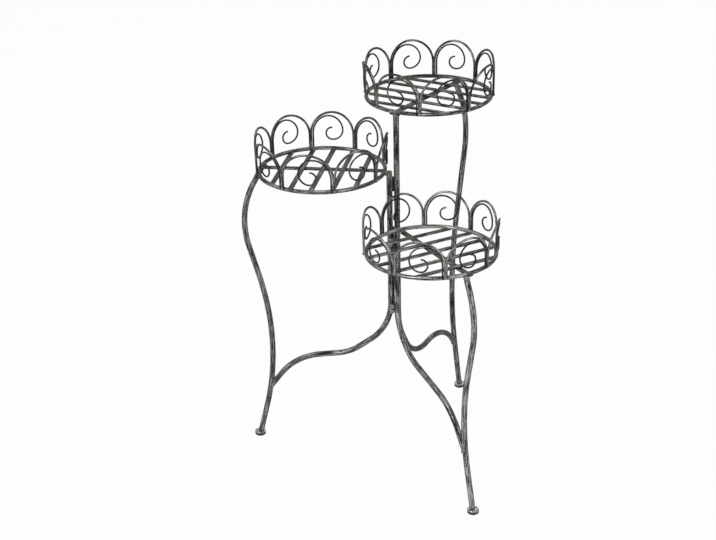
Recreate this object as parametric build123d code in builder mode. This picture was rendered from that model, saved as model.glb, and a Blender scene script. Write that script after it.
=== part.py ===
from build123d import *
import os
from dataclasses import dataclass
from math import cos, pi, radians, sin, sqrt, tan

# Folding plant stand: three trays, each on its own post and leg, hinged post to post
# Millimetres, +Z up, floor at Z = 0, origin in the middle of the footprint

# Bars and wires
bar_diameter = 10.0
ring_rod = 7.0
arch_wire = 4.0
scroll_wire = 3.0
weld_gap = 0.15
bar_sides = 6
wire_sides = 6
ring_sides = 40
round_sides = 16

# Trays
ring_radius = 104.4
post_rise = 3.0
slat_width = 8.0
slat_thickness = 3.0
slat_pitch = 34.3
slat_count = 5
crossbar_width = 10.0
crossbar_thickness = 3.0

# Petals: an arch and a scroll each, standing on the outside of the ring
petal_count = 8
petal_height = 65.0
petal_drop = 3.0
petal_lean = 0.06
arch_chords = 8
scroll_follow = 2
scroll_bends = ((24.2, 135, 4), (18.0, 90, 3), (11.0, 90, 2), (10.5, 90, 2))

# Braces, feet and glides
brace_start = 237.0
brace_knee = (171.6, 165.1)
brace_meet = 104.0
brace_bends = (93.0, 81.5, 112.0)
foot_reach = 244.1
foot_diameter = 20.0
foot_height = 7.0
foot_chamfer = 1.2
groove_depth = 1.5
groove_width = 1.6
glide_diameter = 15.0
glide_thickness = 2.5
glide_recess = 1.0

# Hinges: a pintle on the middle post and a barrel on the post that folds
pin_diameter = 5.0
pin_clearance = 0.05
pin_rise = 1.5
knuckle_diameter = 9.0
leaf_width = 5.0
hinge_clearance = 0.4

# Places that follow from the sizes above
post_reach = ring_radius + ring_rod / 2 + 2 * weld_gap + bar_diameter / 2
arch_depth = arch_wire / cos(pi / wire_sides)
petal_radius = ring_radius + ring_rod / 2 + weld_gap + arch_depth / 2
slat_end = ring_radius - ring_rod / 2 - weld_gap
foot_base = glide_thickness - glide_recess
foot_top = foot_base + foot_height


@dataclass
class Stand:
    """One tray with its post and leg: lengths in mm, turns in degrees."""

    name: str
    post: tuple
    tray_turn: float
    leg_turn: float
    ring_height: float
    bulge_reach: float
    bulge_drop: float
    bulge_bend: float
    waist_reach: float
    waist_height: float
    waist_bend: float
    dip_reach: float
    dip_height: float
    crossbar_shift: float
    crossbar_turn: float
    slat_turn: float
    foot_shifts: tuple

    def upright(self):
        """The plane that the post, brace and leg are bent in."""
        out = Vector(cos(radians(self.leg_turn)), sin(radians(self.leg_turn)), 0)
        return Plane(origin=(*self.post, 0), x_dir=out, z_dir=out.cross(Vector(0, 0, 1)))

    def tray(self, rise=0.0, turn=0.0):
        """A level plane on the tray's centre, its X running away from the post."""
        out = Vector(cos(radians(self.tray_turn)), sin(radians(self.tray_turn)), 0)
        centre = Vector(*self.post, self.ring_height + rise) + out * post_reach
        return Plane(origin=centre, x_dir=out.rotate(Axis.Z, turn), z_dir=(0, 0, 1))


@dataclass
class Hinge:
    """Where one post folds on the middle post."""

    moving: Stand
    side: int
    stations: tuple
    knuckle: float

    def axis_at(self):
        """The spot in the valley between two posts that clears both alike."""
        near, far = Vector(*middle.post), Vector(*self.moving.post)
        reach = (bar_diameter + knuckle_diameter) / 2 + hinge_clearance
        across = (far - near).normalized()
        back = Vector(-across.Y, across.X) * self.side
        half = (far - near).length / 2
        return near + across * half + back * sqrt(reach**2 - half**2)


middle_post = (35.77, -6.73)
tall = Stand(
    name="tall",
    post=(middle_post[0] + 12.2, middle_post[1] + 4.2),
    tray_turn=60.6,
    leg_turn=61.7,
    ring_height=618.0,
    bulge_reach=275.2,
    bulge_drop=91.9,
    bulge_bend=124.7,
    waist_reach=193.4,
    waist_height=239.6,
    waist_bend=555.0,
    dip_reach=53.6,
    dip_height=149.5,
    crossbar_shift=4.5,
    crossbar_turn=-4.7,
    slat_turn=0.0,
    foot_shifts=(0.4, -2.4, -3.4, -1.3, -2.2, -1.3, 3.6, 4.7),
)
middle = Stand(
    name="middle",
    post=middle_post,
    tray_turn=169.0,
    leg_turn=168.6,
    ring_height=518.0,
    bulge_reach=263.6,
    bulge_drop=89.5,
    bulge_bend=155.3,
    waist_reach=195.4,
    waist_height=192.9,
    waist_bend=491.0,
    dip_reach=74.3,
    dip_height=181.9,
    crossbar_shift=-15.0,
    crossbar_turn=3.7,
    slat_turn=1.7,
    foot_shifts=(-5.0, -0.2, 0.4, 0.5, 8.7, 5.0, -0.3, -5.5),
)
low = Stand(
    name="low",
    post=(middle_post[0] + 9.7, middle_post[1] - 6.0),
    tray_turn=-60.5,
    leg_turn=-60.4,
    ring_height=422.0,
    bulge_reach=249.4,
    bulge_drop=71.4,
    bulge_bend=142.5,
    waist_reach=203.6,
    waist_height=158.1,
    waist_bend=370.0,
    dip_reach=50.6,
    dip_height=197.7,
    crossbar_shift=8.0,
    crossbar_turn=0.5,
    slat_turn=0.0,
    foot_shifts=(1.7, 2.9, 0.5, -2.6, -4.7, -4.2, 4.2, 1.8),
)
tall_hinge = Hinge(moving=tall, side=1, stations=(292.0, 483.0), knuckle=12.0)
low_hinge = Hinge(moving=low, side=-1, stations=(268.0, 392.0), knuckle=7.2)


def bent_path(plane, points, bends):
    """Straight runs joined by tangent arcs, with one bend radius for each inner point."""
    points = [plane.from_local_coords(Vector(point)) for point in points]
    with BuildLine() as path:
        start = points[0]
        for before, corner, after, radius in zip(points, points[1:], points[2:], bends):
            back = (before - corner).normalized()
            ahead = (after - corner).normalized()
            setback = radius / tan(radians(back.get_angle(ahead)) / 2)
            Line(start, corner + back * setback)
            start = corner + ahead * setback
            TangentArc(corner + back * setback, start, tangent=back * -1)
        Line(start, points[-1])
    return path.wire()


def leg_path(stand):
    """The leg's centre line, from above the ring down to the floor."""
    top = Vector(post_reach + ring_radius, stand.ring_height - ring_rod / 2 - weld_gap)
    bulge = Vector(stand.bulge_reach, stand.ring_height - stand.bulge_drop)
    start = top + (top - bulge).normalized() * bar_diameter
    points = [start, bulge, (stand.waist_reach, stand.waist_height), (foot_reach, 0)]
    return bent_path(stand.upright(), points, [stand.bulge_bend, stand.waist_bend])


def point_at(path, height):
    """The point where a path that only falls passes a height."""
    above, below = 0.0, 1.0
    while below - above > 1e-6:
        half = (above + below) / 2
        if (path @ half).Z > height:
            above = half
        else:
            below = half
    return path @ above


def bent_wire(across, foot, straight, bends):
    """Points of a flat wire that rises from its foot and turns left: radius, turn, chords."""
    points = [(across, foot), (across, foot + straight)]
    heading = 90.0
    for radius, turn, chords in bends:
        x, y = points[-1]
        centre_x = x - radius * sin(radians(heading))
        centre_y = y + radius * cos(radians(heading))
        for chord in range(1, chords + 1):
            aim = radians(heading + turn * chord / chords)
            points.append((centre_x + radius * sin(aim), centre_y - radius * cos(aim)))
        heading += turn
    return points


def petals(stand):
    """The middle direction and half the clear width of each petal on a tray."""
    pitch = 360 / petal_count
    feet = [pitch * (i + 0.5) + stand.foot_shifts[i % len(stand.foot_shifts)] for i in range(petal_count)]
    for right, left in zip([feet[-1] - 360, *feet[:-1]], feet):
        half = radians(left - right) / 2 * petal_radius
        yield (left + right) / 2, half - arch_wire / 2 - weld_gap


def on_ring(direction, points):
    """Wraps flat points round the tray's rim, leaning in as they rise."""
    for across, height in points:
        radius = petal_radius - petal_lean * height
        aim = radians(direction) + across / petal_radius
        yield (radius * cos(aim), radius * sin(aim), height)


def sweep_wire(plane, points, diameter):
    """Sweeps a drawn wire along a polyline that is given in a tray's plane."""
    with BuildLine(plane) as path:
        Polyline(*points)
    start = path.line @ 0
    outward = start - plane.origin
    section = Plane(origin=start, x_dir=(outward.X, outward.Y, 0), z_dir=(0, 0, 1))
    with BuildSketch(section) as wire:
        RegularPolygon(diameter / 2, wire_sides, major_radius=False)
    sweep(wire.sketch, path=path.line, transition=Transition.RIGHT)


def sweep_bar(path, normal, diameter):
    """Sweeps a round bar, as a prism of many sides, along a path in one plane."""
    along = path % 0
    with BuildSketch(Plane(origin=path @ 0, x_dir=normal.cross(along), z_dir=along)) as bar:
        RegularPolygon(diameter / 2, bar_sides)
    sweep(bar.sketch, path=path)


def knuckle_sketch(hinge, post):
    """A hinge knuckle with the leaf that is welded to a post."""
    centre = hinge.axis_at()
    to_post = Vector(*post) - centre
    with BuildSketch(Plane(origin=centre, x_dir=to_post, z_dir=(0, 0, 1))) as sketch:
        RegularPolygon(knuckle_diameter / 2, round_sides)
        with Locations((to_post.length / 2, 0)):
            Rectangle(to_post.length, leaf_width)
        with Locations((to_post.length, 0)):
            Circle(bar_diameter / 2 + weld_gap, mode=Mode.SUBTRACT)
    return sketch.sketch


def save(piece, label):
    """Labels a finished piece and writes its file."""
    piece.label = label
    export_step(piece, f"parts/{label}.step")


os.makedirs("parts", exist_ok=True)

for stand in (tall, middle, low):
    normal = stand.upright().z_dir
    path = leg_path(stand)

    # Leg: cut flat under the ring and on the foot
    with BuildPart() as leg:
        sweep_bar(path, normal, bar_diameter)
        split(bisect_by=Plane.XY.offset(stand.ring_height - ring_rod / 2 - weld_gap), keep=Keep.BOTTOM)
        split(bisect_by=Plane.XY.offset(foot_top + weld_gap), keep=Keep.TOP)
    save(leg.part, f"{stand.name}_leg")

    # Space that the leg needs, which the brace and crossbar are coped to
    with BuildPart() as leg_room:
        sweep_bar(path, normal, bar_diameter + 2 * weld_gap)

    # Post and brace: one bar, bent out to the leg at the bottom
    meet = stand.upright().to_local_coords(point_at(path, brace_meet))
    corners = [
        (0, stand.ring_height + post_rise),
        (0, brace_start),
        (stand.dip_reach, stand.dip_height),
        brace_knee,
        (meet.X, meet.Y),
    ]
    with BuildPart() as post:
        sweep_bar(bent_path(stand.upright(), corners, brace_bends), normal, bar_diameter)
        add(leg_room.part, mode=Mode.SUBTRACT)
    save(post.part, f"{stand.name}_post")

    # Foot: a turned bun with a groove, recessed below for its glide
    at_foot = Plane(origin=point_at(path, foot_base), x_dir=(1, 0, 0), z_dir=(0, 0, 1))
    with BuildPart() as foot:
        with BuildSketch(at_foot):
            RegularPolygon(foot_diameter / 2, round_sides)
        extrude(amount=foot_height)
        rims = foot.edges().group_by(Axis.Z)
        chamfer(rims[-1] + rims[0], foot_chamfer)
        with BuildSketch(at_foot.offset((foot_height - groove_width) / 2)):
            RegularPolygon(foot_diameter / 2, round_sides)
            RegularPolygon(foot_diameter / 2 - groove_depth, round_sides, mode=Mode.SUBTRACT)
        extrude(amount=groove_width, mode=Mode.SUBTRACT)
        with BuildSketch(at_foot):
            RegularPolygon(glide_diameter / 2 + weld_gap, round_sides)
        extrude(amount=glide_recess, mode=Mode.SUBTRACT)
    save(foot.part, f"{stand.name}_foot")

    # Glide: the plastic pad that stands on the floor
    with BuildPart() as glide:
        with BuildSketch(at_foot.offset(-foot_base)):
            RegularPolygon(glide_diameter / 2, round_sides)
        extrude(amount=glide_thickness)
    save(glide.part, f"{stand.name}_glide")

    # Ring: the rim of the tray, its corners taken off to an eight-sided rod
    rim = stand.tray()
    with BuildPart() as ring:
        with BuildSketch(rim.offset(-ring_rod / 2)):
            RegularPolygon(ring_radius + ring_rod / 2, ring_sides)
            RegularPolygon(ring_radius - ring_rod / 2, ring_sides, False, mode=Mode.SUBTRACT)
        extrude(amount=ring_rod)
        flats = ring.faces().filter_by(Axis.Z)
        chamfer(flats.edges(), ring_rod / (2 + sqrt(2)))
    save(ring.part, f"{stand.name}_ring")

    # Crossbar: lies under the slats and the ring, coped to the leg's top
    with BuildPart() as crossbar:
        with BuildSketch(stand.tray(rise=-ring_rod / 2 - weld_gap, turn=stand.crossbar_turn)):
            with Locations((0, stand.crossbar_shift)):
                Rectangle(2 * ring_radius, crossbar_width)
            Circle(ring_radius, mode=Mode.INTERSECT)
        extrude(amount=-crossbar_thickness)
        add(leg_room.part, mode=Mode.SUBTRACT)
    save(crossbar.part, f"{stand.name}_crossbar")

    # Slats: flat bars from side to side inside the ring
    for number in range(1, slat_count + 1):
        across = slat_pitch * ((slat_count + 1) / 2 - number)
        with BuildPart() as slat:
            with BuildSketch(stand.tray(rise=-ring_rod / 2, turn=stand.slat_turn)):
                with Locations((across, 0)):
                    Rectangle(slat_width, 2 * ring_radius)
                Circle(slat_end, mode=Mode.INTERSECT)
            extrude(amount=slat_thickness)
        save(slat.part, f"{stand.name}_slat_{number}")

    # Arches: eight bent wires whose feet meet in pairs outside the ring
    with BuildPart() as arches:
        for direction, half in petals(stand):
            rise = petal_height + petal_drop - half
            outline = bent_wire(half, -petal_drop, rise, [(half, 180, arch_chords)])
            outline.append((-half, -petal_drop))
            sweep_wire(rim, on_ring(direction, outline), arch_wire)
    save(arches.part, f"{stand.name}_arches")

    # Scrolls: thinner wires that follow the arch and curl up inside it
    with BuildPart() as scrolls:
        for direction, half in petals(stand):
            rise = petal_height + petal_drop - half
            inside = half - (arch_wire + scroll_wire) / 2 - 2 * weld_gap
            follow = (inside, 180 * scroll_follow / arch_chords, scroll_follow)
            outline = bent_wire(inside, -petal_drop, rise, [follow, *scroll_bends])
            sweep_wire(rim, on_ring(direction, outline), scroll_wire)
    save(scrolls.part, f"{stand.name}_scrolls")

for hinge in (tall_hinge, low_hinge):
    name = hinge.moving.name
    centre = hinge.axis_at()
    drop = hinge.knuckle + hinge_clearance

    # Pintles: a fixed knuckle on the middle post with its pin standing up
    with BuildPart() as pintles:
        for station in hinge.stations:
            with BuildSketch(Plane.XY.offset(station)):
                add(knuckle_sketch(hinge, middle.post))
            extrude(amount=hinge.knuckle)
            with BuildSketch(Plane((centre.X, centre.Y, station + hinge.knuckle))):
                Circle(pin_diameter / 2)
            extrude(amount=hinge.knuckle + hinge_clearance + pin_rise)
    save(pintles.part, f"{name}_hinge_pintles")

    # Barrels: bored knuckles on the folding post, above the pintles' knuckles
    with BuildPart() as barrels:
        for station in hinge.stations:
            with BuildSketch(Plane.XY.offset(station + drop)):
                add(knuckle_sketch(hinge, hinge.moving.post))
                with Locations((centre.X, centre.Y)):
                    Circle(pin_diameter / 2 + pin_clearance, mode=Mode.SUBTRACT)
            extrude(amount=hinge.knuckle)
    save(barrels.part, f"{name}_hinge_barrels")
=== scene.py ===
from math import ceil, cos, hypot, pi, radians, sin, sqrt, tan

import bmesh
import bpy
from bpy.props import FloatProperty, FloatVectorProperty, PointerProperty
from mathutils import Matrix, Vector, noise


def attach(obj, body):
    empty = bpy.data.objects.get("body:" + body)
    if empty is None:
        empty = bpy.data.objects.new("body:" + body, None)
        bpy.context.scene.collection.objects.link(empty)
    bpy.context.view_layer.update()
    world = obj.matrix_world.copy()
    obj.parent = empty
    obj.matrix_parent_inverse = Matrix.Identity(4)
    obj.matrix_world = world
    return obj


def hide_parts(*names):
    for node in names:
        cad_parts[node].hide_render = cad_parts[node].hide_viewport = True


bl_info = {
    "name": "Folding Plant Stand",
    "version": (1, 0, 0),
    "blender": (4, 5, 0),
    "location": "View3D > Sidebar > Plant Stand",
    "description": "Dresses a folding plant stand of three trays in brushed black iron",
    "category": "Object",
}

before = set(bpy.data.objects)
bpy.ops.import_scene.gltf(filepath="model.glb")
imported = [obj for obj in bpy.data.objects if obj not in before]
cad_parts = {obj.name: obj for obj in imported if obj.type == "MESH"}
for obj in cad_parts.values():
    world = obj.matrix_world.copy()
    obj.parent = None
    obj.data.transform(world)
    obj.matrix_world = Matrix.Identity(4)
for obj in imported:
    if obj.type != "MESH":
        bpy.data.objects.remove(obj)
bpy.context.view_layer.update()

RIGHT_ANGLE = pi / 2
MM = 0.001

# Post tops on the floor plan, turns in degrees, everything else in millimetres
MIDDLE_POST = (35.77, -6.73)
STANDS = {
    "tall": {
        "post": (MIDDLE_POST[0] + 12.2, MIDDLE_POST[1] + 4.2),
        "silver": 0.0,
        "tray_turn": 60.6,
        "leg_turn": 61.7,
        "ring": 618.0,
        "bulge": (274.4, 91.9, 124.7),
        "waist": (193.4, 239.6, 555.0),
        "dip": (53.6, 149.5),
        "crossbar": (4.5, -4.7),
        "slat_turn": 0.0,
        "petal_height": 63.9,
        "foot_shifts": (0.6, -2.0, -3.0, -1.1, -2.2, -2.1, 2.8, 3.4),
    },
    "middle": {
        "post": MIDDLE_POST,
        "silver": 0.0,
        "tray_turn": 169.0,
        "leg_turn": 168.6,
        "ring": 518.0,
        "bulge": (263.6, 89.5, 155.3),
        "waist": (195.4, 192.9, 491.0),
        "dip": (74.3, 181.9),
        "crossbar": (-15.0, 3.7),
        "slat_turn": 1.7,
        "petal_height": 63.3,
        "foot_shifts": (-3.6, -0.4, 1.0, 0.0, 8.3, 4.7, 0.7, -2.6),
    },
    "low": {
        "post": (MIDDLE_POST[0] + 9.7, MIDDLE_POST[1] - 6.0),
        "silver": 0.10,
        "tray_turn": -60.5,
        "leg_turn": -60.4,
        "ring": 422.0,
        "bulge": (249.4, 71.4, 142.5),
        "waist": (203.6, 158.1, 370.0),
        "dip": (50.6, 197.7),
        "crossbar": (8.0, 0.5),
        "slat_turn": 0.0,
        "petal_height": 61.1,
        "foot_shifts": (0.5, 3.3, 0.0, -2.0, -4.3, -3.0, 4.2, 3.4),
    },
}
HINGES = {
    "tall": {"side": 1, "stations": (292.0, 483.0), "knuckle": 12.0},
    "low": {"side": -1, "stations": (268.0, 392.0), "knuckle": 7.2},
}
BRACE_START = 237.0
BRACE_KNEE = (171.6, 165.1)
BRACE_MEET = 104.0
BRACE_BENDS = (93.0, 81.5, 112.0)
FOOT_REACH = 244.1
FOOT_BASE = 1.5
FOOT_TOP = 8.5
POST_RISE = 3.0
KNUCKLE_RADIUS = 4.5
KNUCKLE_GAP = 0.4
PIN_RADIUS = 2.5
PETALS = 8
PETAL_DROP = 0.6
PETAL_SINK = 2.6  # how far the petals' feet are let into the rim
PETAL_LEAN = -0.015  # inwards for each unit of height, so below zero they lean out
SCROLL_FOLLOW = 45
SCROLL_BENDS = ((24.2, 135), (18.0, 90), (11.0, 90), (10.5, 90))
SLAT_PITCH = 34.3
SLATS = 5
WELD_GAP = 0.15
BEAD_LUMPS = 420.0
BEAD_WAVER = 0.22
ARC_STEPS = 24

# Where the photograph was taken from, read off it: metres from the middle post, and radians
CAMERA_PLACE = (0, -2.4183, 1.4341)
CAMERA_YAW = -0.02275
CAMERA_PITCH = 0.4234
CAMERA_ROLL = -0.0235
FOCAL_LENGTH = 1572.0  # in pixels
PICTURE_WIDTH = 716.0  # in pixels
SENSOR_WIDTH = 36.0

# Soft boxes: place, width and height in metres, and power in watts
LAMPS = {
    "key_lamp": ((-1.6, -2.4, 2.6), 0.35, 2.0, 62.0),
    "fill_lamp": ((2.6, -1.6, 1.4), 1.8, 1.8, 10.0),
    "back_lamp": ((0.4, 2.4, 2.2), 1.6, 1.6, 14.0),
}
LAMP_AIM = (0, 0, 0.35)
FLOOR_GLOW = 0.97
SKY_LIGHT = 0.18


class StandSizes(bpy.types.PropertyGroup):
    """Sizes of the stand's stock."""

    bar: FloatProperty(
        name="Bar", description="Diameter of the posts and legs",
        default=10.0 * MM, unit="LENGTH",
    )
    ring_rod: FloatProperty(
        name="Ring rod", description="Diameter of the rod that a tray's rim is bent from",
        default=7.0 * MM, unit="LENGTH",
    )
    arch_wire: FloatProperty(
        name="Arch wire", description="Diameter of the arches' wire",
        default=4.0 * MM, unit="LENGTH",
    )
    scroll_wire: FloatProperty(
        name="Scroll wire", description="Diameter of the scrolls' wire",
        default=3.0 * MM, unit="LENGTH",
    )
    ring_radius: FloatProperty(
        name="Ring radius", description="From a tray's centre to its rim's centre line",
        default=104.4 * MM, unit="LENGTH",
    )
    slat_width: FloatProperty(
        name="Slat width", description="Width of the flat bars that carry the pot",
        default=8.0 * MM, unit="LENGTH",
    )
    crossbar_width: FloatProperty(
        name="Crossbar width", description="Width of the flat bar under the slats",
        default=10.0 * MM, unit="LENGTH",
    )
    flat_thickness: FloatProperty(
        name="Flat bar thickness", description="Thickness of the slats and crossbars",
        default=3.0 * MM, unit="LENGTH",
    )


class StandFinish(bpy.types.PropertyGroup):
    """Colours of the stand's finish."""

    paint: FloatVectorProperty(
        name="Paint", description="Black paint in the hollows",
        default=(0.018, 0.017, 0.017, 1), subtype="COLOR", size=4, min=0, max=1,
    )
    silver: FloatVectorProperty(
        name="Silver", description="Silver brushed over the paint",
        default=(0.49, 0.482, 0.466, 1), subtype="COLOR", size=4, min=0, max=1,
    )
    steel: FloatVectorProperty(
        name="Steel", description="Bare steel of the turned feet",
        default=(0.45, 0.44, 0.43, 1), subtype="COLOR", size=4, min=0, max=1,
    )
    rust: FloatVectorProperty(
        name="Warm tone", description="Brownish tone where the silver is thin",
        default=(0.10, 0.078, 0.066, 1), subtype="COLOR", size=4, min=0, max=1,
    )
    pad: FloatVectorProperty(
        name="Pad", description="Plastic of the pads under the feet",
        default=(0.012, 0.012, 0.012, 1), subtype="COLOR", size=4, min=0, max=1,
    )
    floor: FloatVectorProperty(
        name="Floor", description="Colour of the floor",
        default=(0.9, 0.9, 0.9, 1), subtype="COLOR", size=4, min=0, max=1,
    )


def sizes():
    """The stock's sizes, in metres."""
    return bpy.context.scene.stand_sizes


def finish_colours():
    """The finish's colours."""
    return bpy.context.scene.stand_finish


def post_reach():
    """From a post's axis to its tray's centre, in metres."""
    size = sizes()
    return size.ring_radius + (size.ring_rod + size.bar) / 2 + 2 * WELD_GAP * MM


def upright(name):
    """Where a post's plane lies: X runs out along the leg and Z up from the floor."""
    stand = STANDS[name]
    post = Vector((*stand["post"], 0)) * MM
    return Matrix.Translation(post) @ Matrix.Rotation(radians(stand["leg_turn"]), 4, "Z")


def tray(name, turn=0.0):
    """Where a tray's rim lies, its X running away from the post."""
    stand = STANDS[name]
    post = Vector((*stand["post"], stand["ring"])) * MM
    out = Matrix.Rotation(radians(stand["tray_turn"]), 4, "Z")
    centre = post + out @ Vector((post_reach(), 0, 0))
    return Matrix.Translation(centre) @ Matrix.Rotation(
        radians(stand["tray_turn"] + turn), 4, "Z"
    )


def hinge_axis(name):
    """The spot on the floor plan that a hinge turns about, in metres."""
    near = Vector(MIDDLE_POST)
    far = Vector(STANDS[name]["post"])
    reach = sizes().bar / MM / 2 + KNUCKLE_RADIUS + KNUCKLE_GAP
    across = (far - near).normalized()
    back = Vector((-across.y, across.x)) * HINGES[name]["side"]
    half = (far - near).length / 2
    return (near + across * half + back * sqrt(reach**2 - half**2)) * MM


# Drawing rods and wires


class Rod:
    """A round rod that is drawn forwards: straight runs, and bends in the XZ plane."""

    STRETCH = 0.06

    def __init__(self, start, heading, thickness, sides, step, offset=0.0):
        self.bm = bmesh.new()
        self.brush = self.bm.verts.layers.float_vector.new("brush")
        self.place = Vector((start[0], 0, start[1]))
        self.heading = heading
        self.step = step
        ahead = self.ahead()
        turn = Matrix((Vector((0, 1, 0)).cross(ahead), Vector((0, 1, 0)), ahead)).transposed()
        at = Matrix.Translation(self.place) @ turn.to_4x4()
        made = bmesh.ops.create_circle(
            self.bm, cap_ends=True, radius=thickness / 2, segments=sides, matrix=at
        )
        for vert in made["verts"]:
            flat = at.inverted() @ vert.co
            vert[self.brush] = (flat.x, flat.y, offset)
        self.edges = list(self.bm.edges)
        self.first = list(self.bm.edges)

    def ahead(self):
        return Vector((cos(self.heading), 0, sin(self.heading)))

    def advance(self, made, length):
        """Takes the newest section as the end, with its place along the rod."""
        self.edges = [item for item in made if isinstance(item, bmesh.types.BMEdge)]
        for vert in {vert for edge in self.edges for vert in edge.verts}:
            vert[self.brush] += Vector((0, 0, length * self.STRETCH))

    def run(self, length):
        """A straight run."""
        if length < 1e-7:
            return
        count = max(1, ceil(length / self.step))
        for _ in range(count):
            made = bmesh.ops.extrude_edge_only(self.bm, edges=self.edges)["geom"]
            ends = [item for item in made if isinstance(item, bmesh.types.BMVert)]
            fresh = set(ends)
            edges = [
                item for item in made
                if isinstance(item, bmesh.types.BMEdge) and set(item.verts) <= fresh
            ]
            bmesh.ops.translate(self.bm, verts=ends, vec=self.ahead() * (length / count))
            self.advance(edges, length / count)
        self.place += self.ahead() * length

    def bend(self, radius, turn):
        """An arc to the left, or to the right when the turn is negative."""
        side = 1 if turn > 0 else -1
        normal = Vector((-sin(self.heading), 0, cos(self.heading)))
        centre = self.place + normal * radius * side
        count = max(2, ceil(abs(turn) * radius / self.step), ceil(abs(turn) / radians(9)))
        for _ in range(count):
            made = bmesh.ops.spin(
                self.bm, geom=self.edges, cent=centre, axis=(0, -1, 0),
                angle=turn / count, steps=1, use_merge=False, use_duplicate=False,
            )["geom_last"]
            self.advance(made, radius * abs(turn) / count)
        self.heading += turn
        self.place = centre - Vector((-sin(self.heading), 0, cos(self.heading))) * radius * side

    def close(self, rounding, waver=0.0):
        """Fills and rounds the ends, and wavers the surface as hand work does."""
        bmesh.ops.contextual_create(self.bm, geom=self.edges)
        bmesh.ops.recalc_face_normals(self.bm, faces=self.bm.faces)
        if waver:
            self.bm.normal_update()
            for vert in self.bm.verts:
                swell = noise.noise(vert[self.brush] * 900.0) + noise.noise(vert.co * 120.0)
                vert.co += vert.normal * waver * (swell - 1.0) / 2
        ends = [edge for edge in self.first + self.edges if edge.is_valid]
        if rounding:
            bmesh.ops.bevel(
                self.bm, geom=ends, offset=rounding, offset_type="OFFSET", segments=2,
                profile=0.5, affect="EDGES", clamp_overlap=True, material=-1,
            )
        return self.bm


def bent_rod(points, bends, thickness, sides, step, offset, rounding, waver):
    """A rod through the given corners in the XZ plane, in metres, bent at each inner one."""
    corners = [Vector(point) for point in points]
    first = corners[1] - corners[0]
    rod = Rod(corners[0], atan_of(first), thickness, sides, step, offset)
    used = 0.0
    for before, corner, after, radius in zip(corners, corners[1:], corners[2:], bends):
        turn = (corner - before).angle_signed(after - corner) * -1
        setback = radius * tan(abs(turn) / 2)
        rod.run((corner - before).length - used - setback)
        rod.bend(radius, turn)
        used = setback
    rod.run((corners[-1] - corners[-2]).length - used)
    return rod.close(rounding, waver)


def atan_of(direction):
    """The heading of a flat direction."""
    return Vector((1, 0)).angle_signed(direction) * -1


def joined(parts):
    """One bmesh out of several, which are freed."""
    whole = bmesh.new()
    whole.verts.layers.float_vector.new("brush")
    for part in parts:
        mesh = bpy.data.meshes.new("part")
        part.to_mesh(mesh)
        part.free()
        whole.from_mesh(mesh)
        bpy.data.meshes.remove(mesh)
    return whole


def make_piece(name, bm, body, material, smooth=True, nodes=()):
    """Turns a finished bmesh, already in place, into a piece that rides on a body."""
    mesh = bpy.data.meshes.new(name)
    for face in bm.faces:
        face.smooth = smooth
    bm.to_mesh(mesh)
    bm.free()
    piece = bpy.data.objects.new(name, mesh)
    bpy.context.scene.collection.objects.link(piece)
    mesh.materials.append(material)
    if smooth:
        mesh.set_sharp_from_angle(angle=radians(50))
    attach(piece, body)
    if nodes:
        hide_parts(*nodes)
    return piece


# Materials


def add_node(tree, kind, inputs=None, **settings):
    """Adds a shader node with its settings, and sets or links its inputs."""
    made = tree.nodes.new(kind)
    for key, value in settings.items():
        setattr(made, key, value)
    for key, value in (inputs or {}).items():
        if isinstance(value, bpy.types.NodeSocket):
            tree.links.new(value, made.inputs[key])
        else:
            made.inputs[key].default_value = value
    return made


def ramp(tree, value, stops):
    """A colour ramp in greys between places and values."""
    made = add_node(tree, "ShaderNodeValToRGB", {"Fac": value})
    elements = made.color_ramp.elements
    while len(elements) < len(stops):
        elements.new(0.5)
    for element, (place, grey) in zip(elements, stops):
        element.position = place
        element.color = (grey, grey, grey, 1)
    return made.outputs["Color"]


def start_material(name):
    """A material with an empty node tree."""
    material = bpy.data.materials.new(name)
    material.use_nodes = True
    tree = material.node_tree
    tree.nodes.clear()
    return material, tree


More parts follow.
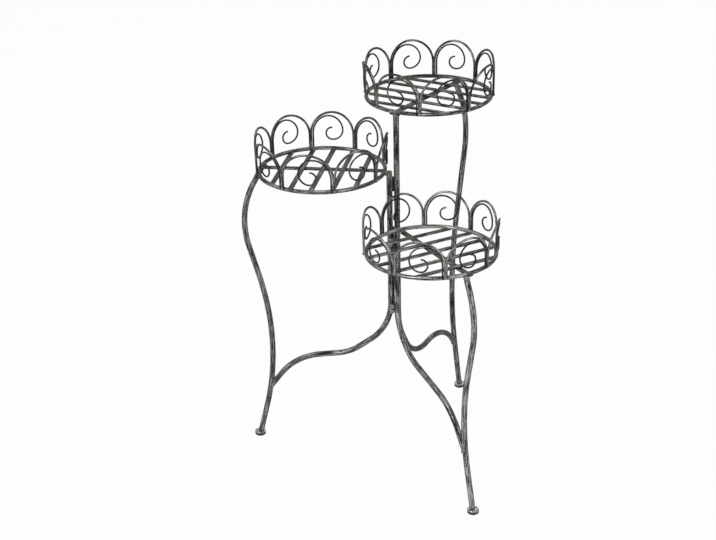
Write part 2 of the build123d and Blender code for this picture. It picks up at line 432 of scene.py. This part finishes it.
def brushed_iron_with_rim_shade(name, coverage=0.5, along_rod=True):
    """Black paint with silver dragged over it: streaks along a rod, or spots on small work; the
    silver also fades towards the edges that turn from the camera, which is painted shade.
    """
    if name in bpy.data.materials:
        return bpy.data.materials[name]
    colours = finish_colours()
    material, tree = start_material(name)
    place = add_node(tree, "ShaderNodeTexCoord").outputs["Object"]
    if along_rod:
        drag = add_node(tree, "ShaderNodeAttribute", attribute_name="brush").outputs["Vector"]
    else:
        drag = place
    streaks = add_node(
        tree, "ShaderNodeTexNoise",
        {"Vector": drag, "Scale": 620.0, "Detail": 3.0, "Roughness": 0.6},
    ).outputs["Fac"]
    patches = add_node(
        tree, "ShaderNodeTexNoise",
        {"Vector": place, "Scale": 90.0, "Detail": 2.0, "Roughness": 0.5},
    ).outputs["Fac"]
    grains = add_node(
        tree, "ShaderNodeTexNoise",
        {"Vector": place, "Scale": 620.0, "Detail": 2.0, "Roughness": 0.6},
    ).outputs["Fac"]
    mixed = add_node(
        tree, "ShaderNodeMath", {0: patches, 1: 0.12, 2: streaks}, operation="MULTIPLY_ADD"
    ).outputs[0]
    mixed = add_node(
        tree, "ShaderNodeMath", {0: grains, 1: 0.5, 2: mixed}, operation="MULTIPLY_ADD"
    ).outputs[0]
    broad = add_node(
        tree, "ShaderNodeTexNoise",
        {"Vector": place, "Scale": 9.0, "Detail": 1.0, "Roughness": 0.5},
    ).outputs["Fac"]
    mixed = add_node(
        tree, "ShaderNodeMath", {0: broad, 1: 0.1, 2: mixed}, operation="MULTIPLY_ADD"
    ).outputs[0]
    shift = 0.875 + (0.5 - coverage) * 0.5
    mask = ramp(tree, add_node(
        tree, "ShaderNodeMath", {0: mixed, 1: shift - 0.5}, operation="SUBTRACT"
    ).outputs[0], [(0.43, 0.0), (0.52, 0.3), (0.62, 1.0)])
    # Painted shade: the silver thins where the surface turns away from the camera, so the edges
    # render dark and the middles light.
    edge = add_node(tree, "ShaderNodeLayerWeight", {"Blend": 0.5}).outputs["Facing"]
    middle = add_node(
        tree, "ShaderNodeMapRange",
        {
            "Value": edge, "From Min": 0.35, "From Max": 0.85,
            "To Min": 1.0, "To Max": 0.1,
        },
    ).outputs[0]
    mask = add_node(
        tree, "ShaderNodeMath", {0: mask, 1: middle}, operation="MULTIPLY"
    ).outputs[0]
    warmth = ramp(tree, add_node(
        tree, "ShaderNodeTexNoise",
        {"Vector": place, "Scale": 24.0, "Detail": 1.0, "Roughness": 0.5},
    ).outputs["Fac"], [(0.5, 0.0), (0.68, 1.0)])
    under = add_node(tree, "ShaderNodeMix", {"Factor": warmth}, data_type="RGBA")
    link_colour(tree, under, colours.paint, colours.rust)
    top = add_node(tree, "ShaderNodeMix", {"Factor": mask}, data_type="RGBA")
    link_colour(tree, top, under.outputs[2], colours.silver)
    rough = add_node(
        tree, "ShaderNodeMapRange", {"Value": mask, "To Min": 0.5, "To Max": 0.34}
    ).outputs[0]
    metal = add_node(
        tree, "ShaderNodeMapRange", {"Value": mask, "To Min": 0.0, "To Max": 0.6}
    ).outputs[0]
    gloss = add_node(
        tree, "ShaderNodeMapRange", {"Value": mask, "To Min": 0.2, "To Max": 0.5}
    ).outputs[0]
    bump = add_node(
        tree, "ShaderNodeBump",
        {"Height": mixed, "Strength": 0.35, "Distance": 0.0006},
    ).outputs["Normal"]
    shader = add_node(
        tree, "ShaderNodeBsdfPrincipled",
        {
            "Base Color": top.outputs[2], "Roughness": rough, "Metallic": metal,
            "Specular IOR Level": gloss, "Specular Tint": (0.4, 0.4, 0.4, 1), "Normal": bump,
        },
    )
    add_node(tree, "ShaderNodeOutputMaterial", {"Surface": shader.outputs[0]})
    return material


def stand_iron(stand, stock, coverage):
    """A stand's brushed iron: the low one has caught more of the silver."""
    return brushed_iron_with_rim_shade(f"{stand}_{stock}", coverage + STANDS[stand]["silver"])


def turned_steel(name):
    """Shiny turned steel above a darker lower half, for the feet."""
    if name in bpy.data.materials:
        return bpy.data.materials[name]
    colours = finish_colours()
    material, tree = start_material(name)
    place = add_node(tree, "ShaderNodeTexCoord").outputs["Object"]
    # The feet take the paint colour below a set height, so they are darker towards the bottom.
    height = add_node(tree, "ShaderNodeSeparateXYZ", {"Vector": place}).outputs["Z"]
    upper_part = add_node(
        tree, "ShaderNodeMapRange",
        {"Value": height, "From Min": 4.2 * MM, "From Max": 5.2 * MM},
    ).outputs[0]
    wear = add_node(
        tree, "ShaderNodeTexNoise",
        {"Vector": place, "Scale": 420.0, "Detail": 2.0, "Roughness": 0.6},
    ).outputs["Fac"]
    worn = ramp(tree, wear, [(0.4, 0.25), (0.6, 1.0)])
    mask = add_node(
        tree, "ShaderNodeMath", {0: upper_part, 1: worn}, operation="MULTIPLY"
    ).outputs[0]
    top = add_node(tree, "ShaderNodeMix", {"Factor": mask}, data_type="RGBA")
    link_colour(tree, top, colours.paint, colours.steel)
    metal = add_node(
        tree, "ShaderNodeMapRange", {"Value": mask, "To Min": 0.0, "To Max": 0.9}
    ).outputs[0]
    rough = add_node(
        tree, "ShaderNodeMapRange", {"Value": wear, "To Min": 0.16, "To Max": 0.34}
    ).outputs[0]
    bump = add_node(
        tree, "ShaderNodeBump", {"Height": wear, "Strength": 0.2, "Distance": 0.0004}
    ).outputs["Normal"]
    shader = add_node(
        tree, "ShaderNodeBsdfPrincipled",
        {
            "Base Color": top.outputs[2], "Roughness": rough, "Metallic": metal,
            "Specular IOR Level": 0.25, "Normal": bump,
        },
    )
    add_node(tree, "ShaderNodeOutputMaterial", {"Surface": shader.outputs[0]})
    return material


def link_colour(tree, mix, low, high):
    """Sets or links the two colours of a colour mix."""
    for index, colour in ((6, low), (7, high)):
        if isinstance(colour, bpy.types.NodeSocket):
            tree.links.new(colour, mix.inputs[index])
        else:
            mix.inputs[index].default_value = tuple(colour)


def matt_plastic(name):
    """Black plastic with a fine moulded grain."""
    material, tree = start_material(name)
    place = add_node(tree, "ShaderNodeTexCoord").outputs["Object"]
    grain = add_node(
        tree, "ShaderNodeTexNoise", {"Vector": place, "Scale": 900.0, "Detail": 3.0}
    ).outputs["Fac"]
    rough = add_node(
        tree, "ShaderNodeMapRange", {"Value": grain, "To Min": 0.5, "To Max": 0.75}
    ).outputs[0]
    bump = add_node(
        tree, "ShaderNodeBump", {"Height": grain, "Strength": 0.2, "Distance": 0.0003}
    ).outputs["Normal"]
    shader = add_node(
        tree, "ShaderNodeBsdfPrincipled",
        {"Base Color": tuple(finish_colours().pad), "Roughness": rough, "Normal": bump},
    )
    add_node(tree, "ShaderNodeOutputMaterial", {"Surface": shader.outputs[0]})
    return material


# The stand's pieces


class StandOperator:
    """What the stand's operators share."""

    bl_options = {"REGISTER", "UNDO"}


def leg_corners(name):
    """Corners of a leg in its upright plane, in millimetres, and its bends."""
    stand = STANDS[name]
    size = sizes()
    ring_radius = size.ring_radius / MM
    top = Vector((
        post_reach() / MM + ring_radius,
        stand["ring"] - size.ring_rod / MM / 2 - WELD_GAP,
    ))
    reach, drop, bulge_bend = stand["bulge"]
    bulge = Vector((reach, stand["ring"] - drop))
    waist_reach, waist_height, waist_bend = stand["waist"]
    corners = [top, bulge, Vector((waist_reach, waist_height)), Vector((FOOT_REACH, 0))]
    return corners, (bulge_bend, waist_bend)


def along_leg(name, height):
    """A leg's reach at a height, in millimetres."""
    corners, bends = leg_corners(name)
    path = sample(corners, bends)
    for (x0, z0), (x1, z1) in zip(path, path[1:]):
        if z1 <= height <= z0:
            share = (z0 - height) / (z0 - z1)
            return x0 + (x1 - x0) * share
    return path[-1][0]


def sample(corners, bends):
    """Points along straight runs joined by arcs."""
    points = [tuple(corners[0])]
    for before, corner, after, radius in zip(corners, corners[1:], corners[2:], bends):
        back = (before - corner).normalized()
        ahead = (after - corner).normalized()
        setback = radius / tan(back.angle(ahead) / 2)
        middle = corner + (back + ahead).normalized() * hypot(radius, setback)
        first = corner + back * setback - middle
        last = corner + ahead * setback - middle
        turn = first.angle_signed(last)
        for step in range(ARC_STEPS + 1):
            spun = Matrix.Rotation(-turn * step / ARC_STEPS, 2) @ first
            points.append(tuple(middle + spun))
    points.append(tuple(corners[-1]))
    return points


class STAND_OT_legs(StandOperator, bpy.types.Operator):
    """Bends the three legs from round bar."""

    bl_idname = "stand.legs"
    bl_label = "Legs"

    def execute(self, context):
        for index, name in enumerate(STANDS):
            corners, bends = leg_corners(name)
            foot_top = Vector((along_leg(name, FOOT_TOP), FOOT_TOP))
            corners = [corners[0], corners[1], corners[2], foot_top]
            bm = bent_rod(
                [corner * MM for corner in corners], [bend * MM for bend in bends],
                sizes().bar, sides=20, step=5 * MM, offset=0.1 * index,
                rounding=0.6 * MM, waver=0.25 * MM,
            )
            bmesh.ops.transform(bm, matrix=upright(name), verts=bm.verts)
            make_piece(
                f"{name}_leg_bar", bm, f"{name}_frame",
                stand_iron(name, "leg", 0.5), nodes=[f"{name}_leg"],
            )
        return {"FINISHED"}


class STAND_OT_posts(StandOperator, bpy.types.Operator):
    """Bends the three posts with their braces from round bar."""

    bl_idname = "stand.posts"
    bl_label = "Posts and braces"

    def execute(self, context):
        for index, name in enumerate(STANDS):
            stand = STANDS[name]
            corners = [
                (0, stand["ring"] + POST_RISE),
                (0, BRACE_START),
                stand["dip"],
                BRACE_KNEE,
                (along_leg(name, BRACE_MEET) - 3.0, BRACE_MEET + 1.5),
            ]
            bm = bent_rod(
                [Vector(corner) * MM for corner in corners],
                [bend * MM for bend in BRACE_BENDS],
                sizes().bar, sides=20, step=5 * MM, offset=0.31 + 0.1 * index,
                rounding=0.9 * MM, waver=0.25 * MM,
            )
            bmesh.ops.transform(bm, matrix=upright(name), verts=bm.verts)
            make_piece(
                f"{name}_post_bar", bm, f"{name}_frame",
                brushed_iron_with_rim_shade("brushed_bar_with_rim_shade"), nodes=[f"{name}_post"],
            )
        return {"FINISHED"}


class STAND_OT_rings(StandOperator, bpy.types.Operator):
    """Spins each tray's rim from round rod."""

    bl_idname = "stand.rings"
    bl_label = "Rings"

    def execute(self, context):
        size = sizes()
        for name in STANDS:
            bm = bmesh.new()
            brush = bm.verts.layers.float_vector.new("brush")
            at = Matrix.Translation((size.ring_radius, 0, 0)) @ Matrix.Rotation(
                RIGHT_ANGLE, 4, "X"
            )
            bmesh.ops.create_circle(bm, radius=size.ring_rod / 2, segments=16, matrix=at)
            bmesh.ops.spin(
                bm, geom=list(bm.verts) + list(bm.edges), cent=(0, 0, 0), axis=(0, 0, 1),
                angle=2 * pi, steps=144, use_merge=True, use_duplicate=False,
            )
            bmesh.ops.recalc_face_normals(bm, faces=bm.faces)
            bm.normal_update()
            for vert in bm.verts:
                far = hypot(vert.co.x, vert.co.y)
                around = Vector((vert.co.x, vert.co.y, 0)) * Rod.STRETCH
                vert[brush] = (far - size.ring_radius + around.x, vert.co.z, around.y)
                swell = noise.noise(vert.co * 160.0 + Vector((STANDS[name]["ring"], 0, 0)))
                vert.co += vert.normal * 0.22 * MM * (swell - 0.6)
            bmesh.ops.transform(bm, matrix=tray(name), verts=bm.verts)
            make_piece(
                f"{name}_ring_rod", bm, f"{name}_frame",
                stand_iron(name, "rim", 0.5), nodes=[f"{name}_ring"],
            )
        return {"FINISHED"}


def petals(name):
    """The middle direction and half the clear width of each petal, in degrees and metres."""
    size = sizes()
    pitch = 360 / PETALS
    shifts = STANDS[name]["foot_shifts"]
    feet = [pitch * (i + 0.5) + shifts[i] for i in range(PETALS)]
    for right, left in zip([feet[-1] - 360, *feet[:-1]], feet):
        half = radians(left - right) / 2 * petal_radius()
        yield (left + right) / 2, half - size.arch_wire / 2 - WELD_GAP * MM


def petal_radius():
    """From a tray's centre to its petals' centre lines in the solids, in metres."""
    size = sizes()
    wide = size.arch_wire / cos(pi / 6)
    return size.ring_radius + size.ring_rod / 2 + WELD_GAP * MM + wide / 2


def wrap_on_rim(bm, direction):
    """Bends flat work round the tray's rim, leaning in as it rises, or out."""
    rim = petal_radius() - PETAL_SINK * MM
    for vert in bm.verts:
        radius = rim - PETAL_LEAN * vert.co.z - vert.co.y
        aim = radians(direction) + vert.co.x / rim
        vert.co = Vector((radius * cos(aim), radius * sin(aim), vert.co.z))


class STAND_OT_arches(StandOperator, bpy.types.Operator):
    """Bends the eight arches round each tray's rim."""

    bl_idname = "stand.arches"
    bl_label = "Arches"

    def execute(self, context):
        size = sizes()
        for name in STANDS:
            parts = []
            for index, (direction, half) in enumerate(petals(name)):
                rise = (STANDS[name]["petal_height"] + PETAL_DROP) * MM - half
                rod = Rod(
                    (half, -PETAL_DROP * MM), RIGHT_ANGLE, size.arch_wire, sides=12,
                    step=3 * MM, offset=0.05 * index,
                )
                rod.run(rise)
                rod.bend(half, pi)
                rod.run(rise)
                bm = rod.close(rounding=0.4 * MM, waver=0.12 * MM)
                wrap_on_rim(bm, direction)
                parts.append(bm)
            bm = joined(parts)
            bmesh.ops.transform(bm, matrix=tray(name), verts=bm.verts)
            make_piece(
                f"{name}_arch_wires", bm, f"{name}_frame",
                stand_iron(name, "wire", 0.46), nodes=[f"{name}_arches"],
            )
        return {"FINISHED"}


class STAND_OT_scrolls(StandOperator, bpy.types.Operator):
    """Curls the eight scrolls inside the arches."""

    bl_idname = "stand.scrolls"
    bl_label = "Scrolls"

    def execute(self, context):
        size = sizes()
        for name in STANDS:
            parts = []
            for index, (direction, half) in enumerate(petals(name)):
                rise = (STANDS[name]["petal_height"] + PETAL_DROP) * MM - half
                inside = half - (size.arch_wire + size.scroll_wire) / 2 - 2 * WELD_GAP * MM
                rod = Rod(
                    (inside, -PETAL_DROP * MM), RIGHT_ANGLE, size.scroll_wire, sides=10,
                    step=3 * MM, offset=0.05 * index + 0.4,
                )
                rod.run(rise)
                rod.bend(inside, radians(SCROLL_FOLLOW))
                for radius, turn in SCROLL_BENDS:
                    rod.bend(radius * MM, radians(turn))
                bm = rod.close(rounding=0.4 * MM, waver=0.08 * MM)
                wrap_on_rim(bm, direction)
                parts.append(bm)
            bm = joined(parts)
            bmesh.ops.transform(bm, matrix=tray(name), verts=bm.verts)
            make_piece(
                f"{name}_scroll_wires", bm, f"{name}_frame",
                stand_iron(name, "thin_wire", 0.25), nodes=[f"{name}_scrolls"],
            )
        return {"FINISHED"}


def flat_bar(width, thickness, across, radius, bottom, offset):
    """A flat bar across a tray, its ends following the rim and its edges worn round."""
    bm = bmesh.new()
    brush = bm.verts.layers.float_vector.new("brush")
    half = sqrt(radius**2 - across**2)
    bmesh.ops.create_cube(bm, size=1)
    bmesh.ops.scale(bm, vec=(width, 2 * half, thickness), verts=bm.verts)
    bmesh.ops.translate(bm, vec=(across, 0, bottom + thickness / 2), verts=bm.verts)
    for place in (-0.5, 0.0, 0.5):
        bmesh.ops.bisect_plane(
            bm, geom=list(bm.verts) + list(bm.edges) + list(bm.faces),
            plane_co=(across + place * width * 0.5, 0, 0), plane_no=(1, 0, 0),
        )
    for vert in bm.verts:
        reach = sqrt(max(radius**2 - vert.co.x**2, 0))
        vert.co.y = reach if vert.co.y > 0 else -reach
    bmesh.ops.dissolve_limit(
        bm, angle_limit=radians(1), verts=bm.verts, edges=bm.edges, delimit={"NORMAL"}
    )
    long_edges = [edge for edge in bm.edges if edge.calc_face_angle(0) > radians(40)]
    bmesh.ops.bevel(
        bm, geom=long_edges, offset=0.6 * MM, offset_type="OFFSET", segments=2,
        profile=0.5, affect="EDGES", clamp_overlap=True, material=-1,
    )
    for vert in bm.verts:
        vert[brush] = (vert.co.x, vert.co.z, vert.co.y * Rod.STRETCH + offset)
    return bm


class STAND_OT_slats(StandOperator, bpy.types.Operator):
    """Lays the flat bars that carry the pots."""

    bl_idname = "stand.slats"
    bl_label = "Slats"

    def execute(self, context):
        size = sizes()
        end = size.ring_radius - size.ring_rod / 2 - WELD_GAP * MM
        for name, stand in STANDS.items():
            for number in range(1, SLATS + 1):
                across = SLAT_PITCH * MM * ((SLATS + 1) / 2 - number)
                bm = flat_bar(
                    size.slat_width, size.flat_thickness, across, end,
                    -size.ring_rod / 2, 0.07 * number,
                )
                bmesh.ops.transform(bm, matrix=tray(name, stand["slat_turn"]), verts=bm.verts)
                make_piece(
                    f"{name}_slat_{number}_bar", bm, f"{name}_frame",
                    stand_iron(name, "flat", 0.4), nodes=[f"{name}_slat_{number}"],
                )
        return {"FINISHED"}


class STAND_OT_crossbars(StandOperator, bpy.types.Operator):
    """Lays the flat bar under each tray's slats."""

    bl_idname = "stand.crossbars"
    bl_label = "Crossbars"

    def execute(self, context):
        size = sizes()
        for name, stand in STANDS.items():
            shift, turn = stand["crossbar"]
            bottom = -size.ring_rod / 2 - WELD_GAP * MM - size.flat_thickness
            bm = flat_bar(
                size.crossbar_width, size.flat_thickness, -shift * MM, size.ring_radius,
                bottom, 0.5,
            )
            bmesh.ops.transform(bm, matrix=tray(name, turn - 90), verts=bm.verts)
            make_piece(
                f"{name}_crossbar_bar", bm, f"{name}_frame",
                stand_iron(name, "flat", 0.4), nodes=[f"{name}_crossbar"],
            )
        return {"FINISHED"}


def turned(profile, steps=48):
    """A turned shape from its outline of radius and height, in millimetres."""
    bm = bmesh.new()
    verts = [bm.verts.new((radius * MM, 0, height * MM)) for radius, height in profile]
    edges = [bm.edges.new(pair) for pair in zip(verts, verts[1:])]
    bmesh.ops.spin(
        bm, geom=verts + edges, cent=(0, 0, 0), axis=(0, 0, 1), angle=2 * pi,
        steps=steps, use_merge=True, use_duplicate=False,
    )
    bmesh.ops.remove_doubles(bm, verts=bm.verts, dist=1e-6)
    bmesh.ops.recalc_face_normals(bm, faces=bm.faces)
    return bm


def foot_place(name, height=0.0):
    """The middle of a foot at a height in millimetres, as a place in metres."""
    return upright(name) @ Vector((along_leg(name, FOOT_BASE) * MM, 0, height * MM))


class STAND_OT_feet(StandOperator, bpy.types.Operator):
    """Turns the three steel buns that the legs end in."""

    bl_idname = "stand.feet"
    bl_label = "Feet"

    def execute(self, context):
        profile = [
            (0, 1.0), (7.7, 1.0), (7.7, 0), (8.6, 0), (9.4, 0.35), (9.8, 1.2), (9.8, 2.3),
            (9.5, 2.7), (8.5, 2.9), (8.4, 3.5), (8.5, 4.1), (9.5, 4.3), (9.8, 4.7),
            (9.8, 5.8), (9.4, 6.6), (8.6, 7.0), (0, 7.0),
        ]
        for name in STANDS:
            bm = turned(profile)
            bmesh.ops.translate(bm, vec=foot_place(name, FOOT_BASE), verts=bm.verts)
            make_piece(
                f"{name}_foot_bun", bm, f"{name}_frame",
                turned_steel("foot_steel"), nodes=[f"{name}_foot"],
            )
        return {"FINISHED"}


class STAND_OT_glides(StandOperator, bpy.types.Operator):
    """Moulds the pads under the feet."""

    bl_idname = "stand.glides"
    bl_label = "Glides"

    def execute(self, context):
        profile = [(0, 0), (6.6, 0), (7.2, 0.2), (7.5, 0.7), (7.5, 2.5), (0, 2.5)]
        for name in STANDS:
            bm = turned(profile)
            bmesh.ops.translate(bm, vec=foot_place(name), verts=bm.verts)
            make_piece(
                f"{name}_glide_pad", bm, f"{name}_frame",
                matt_plastic("pad_plastic"), nodes=[f"{name}_glide"],
            )
        return {"FINISHED"}


def knuckle(centre, bottom, height, bore):
    """A hinge knuckle: a short tube with worn rims, in millimetres above the floor."""
    edge = 0.5
    wide = KNUCKLE_RADIUS
    profile = [
        (bore, 0), (wide - edge, 0), (wide, edge), (wide, height - edge),
        (wide - edge, height), (bore, height),
    ]
    if bore:
        profile.append(profile[0])
    bm = turned(profile, steps=32)
    bmesh.ops.translate(bm, vec=(centre.x, centre.y, bottom * MM), verts=bm.verts)
    return bm


def leaf(centre, post, bottom, height):
    """The small plate that joins a knuckle to its post."""
    reach = Vector((post.x - centre.x, post.y - centre.y, 0))
    near = 4.0 * MM
    far = reach.length - 5.0 * MM
    bm = bmesh.new()
    bmesh.ops.create_cube(bm, size=1)
    bmesh.ops.scale(bm, vec=(far - near, 5.0 * MM, height * MM), verts=bm.verts)
    bmesh.ops.bevel(
        bm, geom=list(bm.edges), offset=0.4 * MM, offset_type="OFFSET", segments=2,
        profile=0.5, affect="EDGES", clamp_overlap=True, material=-1,
    )
    turn = Matrix.Rotation(Vector((1, 0)).angle_signed(reach.to_2d()) * -1, 4, "Z")
    at = Vector((centre.x, centre.y, (bottom + height / 2) * MM))
    at += reach.normalized() * (near + far) / 2
    bmesh.ops.transform(bm, matrix=Matrix.Translation(at) @ turn, verts=bm.verts)
    return bm


class STAND_OT_hinges(StandOperator, bpy.types.Operator):
    """Makes the hinges that the tall and low stands fold on."""

    bl_idname = "stand.hinges"
    bl_label = "Hinges"

    def execute(self, context):
        for name, hinge in HINGES.items():
            centre = hinge_axis(name)
            height = hinge["knuckle"]
            middle = Vector(MIDDLE_POST) * MM
            moving = Vector(STANDS[name]["post"]) * MM
            fixed, barrels = [], []
            for station in hinge["stations"]:
                fixed.append(knuckle(centre, station, height, bore=0))
                fixed.append(leaf(centre, middle, station, height))
                rise = height + KNUCKLE_GAP + 1.5
                pin = turned([
                    (0, -1), (PIN_RADIUS, -1), (PIN_RADIUS, rise - 0.8),
                    (PIN_RADIUS - 0.6, rise - 0.2), (0, rise),
                ], steps=24)
                at = (centre.x, centre.y, (station + height) * MM)
                bmesh.ops.translate(pin, vec=at, verts=pin.verts)
                fixed.append(pin)
                above = station + height + KNUCKLE_GAP
                barrels.append(knuckle(centre, above, height, bore=PIN_RADIUS + 0.05))
                barrels.append(leaf(centre, moving, above, height))
            make_piece(
                f"{name}_hinge_pins", joined(fixed), "middle_frame",
                brushed_iron_with_rim_shade("brushed_foot_with_rim_shade", 0.6, along_rod=False),
                nodes=[f"{name}_hinge_pintles"],
            )
            make_piece(
                f"{name}_hinge_knuckles", joined(barrels), f"{name}_frame",
                brushed_iron_with_rim_shade("brushed_foot_with_rim_shade", 0.6, along_rod=False),
                nodes=[f"{name}_hinge_barrels"],
            )
        return {"FINISHED"}


def bead(bm, place, radius):
    """A lump of weld at a place in metres, its radius in millimetres."""
    made = bmesh.ops.create_icosphere(
        bm, subdivisions=3, radius=radius * MM, matrix=Matrix.Translation(place)
    )
    for vert in made["verts"]:
        swell = noise.noise(vert.co * BEAD_LUMPS)
        vert.co = place + (vert.co - place) * (1 + BEAD_WAVER * swell)


def weld_places(name):
    """Where a stand is welded, as places in metres with the beads' radii in millimetres."""
    size = sizes()
    stand = STANDS[name]
    at = tray(name)
    rim = size.ring_radius / MM
    outside = rim + size.ring_rod / MM / 2
    # The post and the leg on the rim
    for side in (-1, 1):
        yield at @ (Vector((-outside - 0.4, 3.2 * side, 0.6)) * MM), 2.3
        yield at @ (Vector((-outside - 0.2, 2.6 * side, -3.0)) * MM), 2.0
        yield at @ (Vector((rim, 3.4 * side, -3.9)) * MM), 2.3
        yield at @ (Vector((rim + 3.2, 1.6 * side, -3.9)) * MM), 1.9
    # Between each pair of petals
    pitch = 360 / PETALS
    for index, shift in enumerate(stand["foot_shifts"]):
        aim = radians(pitch * (index + 0.5) + shift)
        for reach, rise, radius in ((0.6, 0.9, 2.4), (0.0, 4.2, 1.6)):
            out = outside + reach
            yield at @ (Vector((out * cos(aim), out * sin(aim), rise)) * MM), radius
    # The ends of the slats and of the crossbar
    at = tray(name, stand["slat_turn"])
    end = rim - size.ring_rod / MM / 2
    for number in range(1, SLATS + 1):
        across = SLAT_PITCH * ((SLATS + 1) / 2 - number)
        reach = sqrt(end**2 - across**2)
        for side in (-1, 1):
            yield at @ (Vector((across + 1.4 * side, reach * side, -1.0)) * MM), 1.7
    shift, turn = stand["crossbar"]
    at = tray(name, turn - 90)
    for side in (-1, 1):
        reach = sqrt(rim**2 - shift**2) - 2.6
        yield at @ (Vector((4.4 - shift, reach * side, -3.9)) * MM), 1.8
        yield at @ (Vector((-4.4 - shift, reach * side, -3.9)) * MM), 1.6
    # The brace on the leg
    at = upright(name)
    for side in (-1, 1):
        for rise in (-1.5, 3.5):
            reach = along_leg(name, BRACE_MEET + rise) - 4.4
            yield at @ (Vector((reach, 3.1 * side, BRACE_MEET + rise)) * MM), 2.4


class STAND_OT_welds(StandOperator, bpy.types.Operator):
    """Leaves lumps of weld where rods, wires and flat bars meet."""

    bl_idname = "stand.welds"
    bl_label = "Welds"

    def execute(self, context):
        for name in STANDS:
            bm = bmesh.new()
            for place, radius in weld_places(name):
                bead(bm, place, radius)
            make_piece(
                f"{name}_weld_beads", bm, f"{name}_frame",
                brushed_iron_with_rim_shade("bright_weld_with_rim_shade", 0.66, along_rod=False),
            )
        return {"FINISHED"}


class STAND_OT_stage(StandOperator, bpy.types.Operator):
    """Sets the floor, the light and the camera."""

    bl_idname = "stand.stage"
    bl_label = "Stage"

    def execute(self, context):
        scene = context.scene
        lay_floor()
        light_world(scene)
        for name, lamp in LAMPS.items():
            hang_lamp(name, *lamp)
        place_camera(scene)
        scene.view_settings.view_transform = "Standard"
        return {"FINISHED"}


def lay_floor():
    """A wide pale floor that stays white to the camera and takes a soft shadow."""
    bm = bmesh.new()
    bmesh.ops.create_grid(bm, x_segments=1, y_segments=1, size=30)
    mesh = bpy.data.meshes.new("floor")
    bm.to_mesh(mesh)
    bm.free()
    floor = bpy.data.objects.new("floor", mesh)
    bpy.context.scene.collection.objects.link(floor)
    material, tree = start_material("pale_floor")
    matt = add_node(
        tree, "ShaderNodeBsdfDiffuse", {"Color": tuple(finish_colours().floor)}
    ).outputs[0]
    glow = add_node(
        tree, "ShaderNodeEmission", {"Color": (1, 1, 1, 1), "Strength": 1.0}
    ).outputs[0]
    seen = seen_rays(tree)
    share = add_node(
        tree, "ShaderNodeMath", {0: seen, 1: FLOOR_GLOW}, operation="MULTIPLY"
    ).outputs[0]
    both = add_node(tree, "ShaderNodeMixShader", {0: share, 1: matt, 2: glow}).outputs[0]
    add_node(tree, "ShaderNodeOutputMaterial", {"Surface": both})
    mesh.materials.append(material)


def seen_rays(tree):
    """One for rays that the camera, gloss or glass sends straight to the backdrop."""
    rays = add_node(tree, "ShaderNodeLightPath").outputs
    total = add_node(
        tree, "ShaderNodeMath", {0: rays["Is Camera Ray"], 1: rays["Is Glossy Ray"]},
        operation="MAXIMUM",
    ).outputs[0]
    return add_node(
        tree, "ShaderNodeMath", {0: total, 1: rays["Is Transmission Ray"]},
        operation="MAXIMUM",
    ).outputs[0]


def light_world(scene):
    """White behind everything, and a soft even light on it."""
    world = bpy.data.worlds.new("studio")
    world.use_nodes = True
    tree = world.node_tree
    tree.nodes.clear()
    strength = add_node(
        tree, "ShaderNodeMapRange",
        {"Value": seen_rays(tree), "To Min": SKY_LIGHT, "To Max": 1.0},
    ).outputs[0]
    sky = add_node(
        tree, "ShaderNodeBackground", {"Color": (1, 1, 1, 1), "Strength": strength}
    ).outputs[0]
    add_node(tree, "ShaderNodeOutputWorld", {"Surface": sky})
    scene.world = world


def hang_lamp(name, place, width, height, power):
    """A soft box that faces the stand's middle."""
    lamp = bpy.data.lights.new(name, "AREA")
    lamp.shape = "RECTANGLE"
    lamp.size = width
    lamp.size_y = height
    lamp.energy = power
    holder = bpy.data.objects.new(name, lamp)
    holder.location = place
    aim = Vector(LAMP_AIM) - Vector(place)
    holder.rotation_euler = aim.to_track_quat("-Z", "Y").to_euler()
    bpy.context.scene.collection.objects.link(holder)


def place_camera(scene):
    """Stands the camera where the photograph was taken from."""
    yaw, pitch, roll = CAMERA_YAW, CAMERA_PITCH, CAMERA_ROLL
    ahead = Vector((sin(yaw) * cos(pitch), cos(yaw) * cos(pitch), -sin(pitch)))
    right = Vector((cos(yaw), -sin(yaw), 0))
    above = right.cross(ahead)
    across = right * cos(roll) + above * sin(roll)
    over = above * cos(roll) - right * sin(roll)
    camera = bpy.data.cameras.new("camera")
    camera.sensor_width = SENSOR_WIDTH
    camera.lens = FOCAL_LENGTH / PICTURE_WIDTH * SENSOR_WIDTH
    holder = bpy.data.objects.new("camera", camera)
    turn = Matrix((across, over, -ahead)).transposed().to_4x4()
    hub = Vector((*MIDDLE_POST, 0)) * MM
    holder.matrix_world = Matrix.Translation(hub + Vector(CAMERA_PLACE)) @ turn
    scene.collection.objects.link(holder)
    scene.camera = holder


class STAND_PT_panel(bpy.types.Panel):
    """Lists the stand's pieces."""

    bl_idname = "STAND_PT_panel"
    bl_label = "Plant Stand"
    bl_space_type = "VIEW_3D"
    bl_region_type = "UI"
    bl_category = "Plant Stand"

    def draw(self, context):
        layout = self.layout
        for group in (context.scene.stand_sizes, context.scene.stand_finish):
            for key in group.__annotations__:
                layout.prop(group, key)
        for operator in OPERATORS:
            layout.operator(operator.bl_idname)


OPERATORS = (
    STAND_OT_posts,
    STAND_OT_legs,
    STAND_OT_feet,
    STAND_OT_glides,
    STAND_OT_rings,
    STAND_OT_crossbars,
    STAND_OT_slats,
    STAND_OT_arches,
    STAND_OT_scrolls,
    STAND_OT_hinges,
    STAND_OT_welds,
    STAND_OT_stage,
)
CLASSES = (StandSizes, StandFinish, *OPERATORS, STAND_PT_panel)


def register():
    for cls in CLASSES:
        bpy.utils.register_class(cls)
    bpy.types.Scene.stand_sizes = PointerProperty(type=StandSizes)
    bpy.types.Scene.stand_finish = PointerProperty(type=StandFinish)


def unregister():
    del bpy.types.Scene.stand_finish
    del bpy.types.Scene.stand_sizes
    for cls in reversed(CLASSES):
        bpy.utils.unregister_class(cls)


def main():
    register()
    for operator in OPERATORS:
        group, name = operator.bl_idname.split(".")
        getattr(getattr(bpy.ops, group), name)()


if __name__ == "__main__":
    main()
